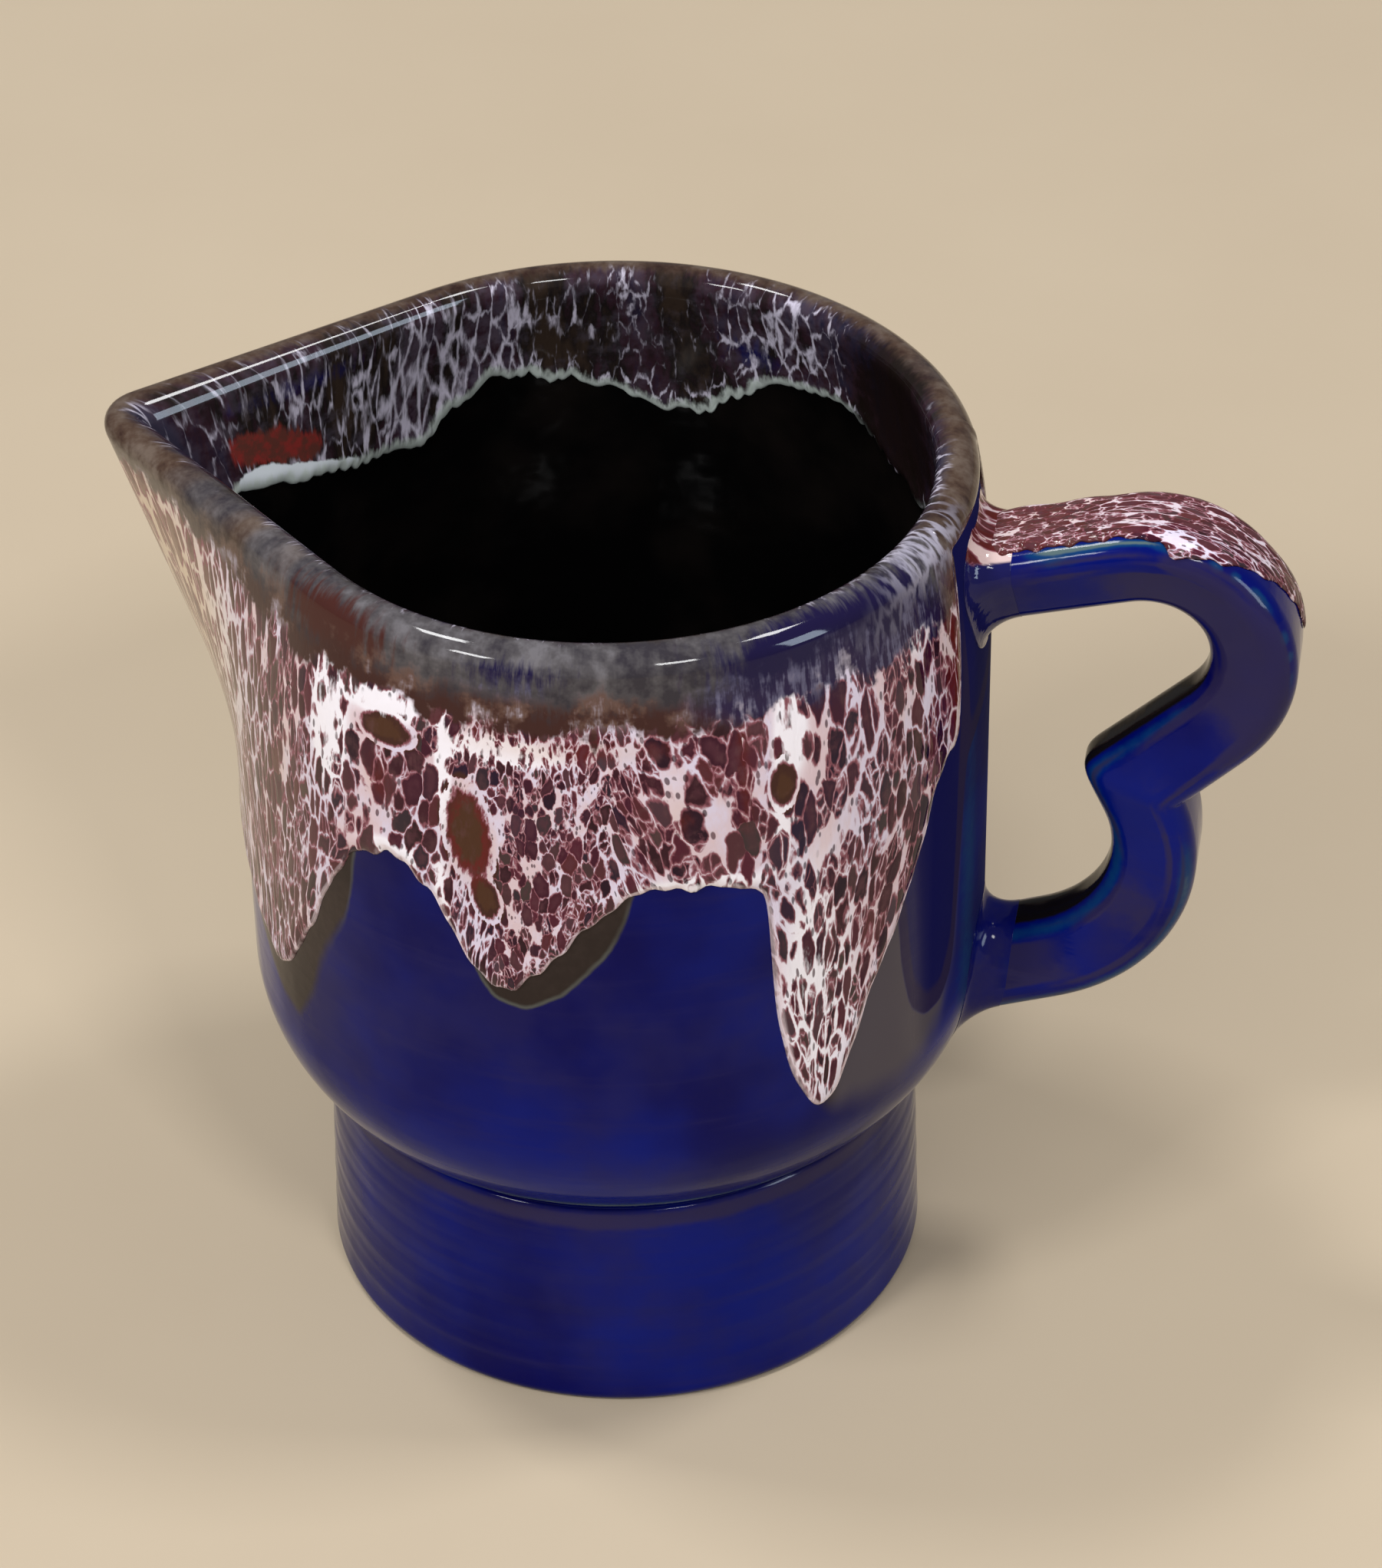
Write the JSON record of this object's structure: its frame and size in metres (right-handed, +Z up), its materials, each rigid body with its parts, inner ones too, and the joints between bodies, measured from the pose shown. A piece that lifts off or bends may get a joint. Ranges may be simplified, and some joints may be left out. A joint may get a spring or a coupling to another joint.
{
  "type": "milk jug",
  "caption": "Small glazed earthenware milk jug: round bowl with a pulled spout on a straight foot, two-lobed strap handle and a mottled glaze that runs down from the rim.",
  "frame": {"origin": "middle of the foot's flat base", "axes": "+Z up the jug's axis, +X towards the handle, -X towards the spout"},
  "size_m": [0.1408, 0.0904, 0.1157],
  "materials": {
    "cobalt_glaze": "gloss cobalt glaze over earthenware",
    "black_glaze": "gloss black glaze",
    "mottled_glaze": "gloss mottled glaze, red-brown cells in a white net"
  },
  "bodies": {
    "root": {"foot_cup": "cobalt_glaze", "foot_slip": "cobalt_glaze", "bowl": "cobalt_glaze", "handle": "cobalt_glaze", "upper_handle_slip": "mottled_glaze", "lower_handle_slip": "cobalt_glaze", "liner_glaze": "black_glaze", "drip_glaze": "mottled_glaze", "handle_glaze": "mottled_glaze"}
  },
  "joints": []
}
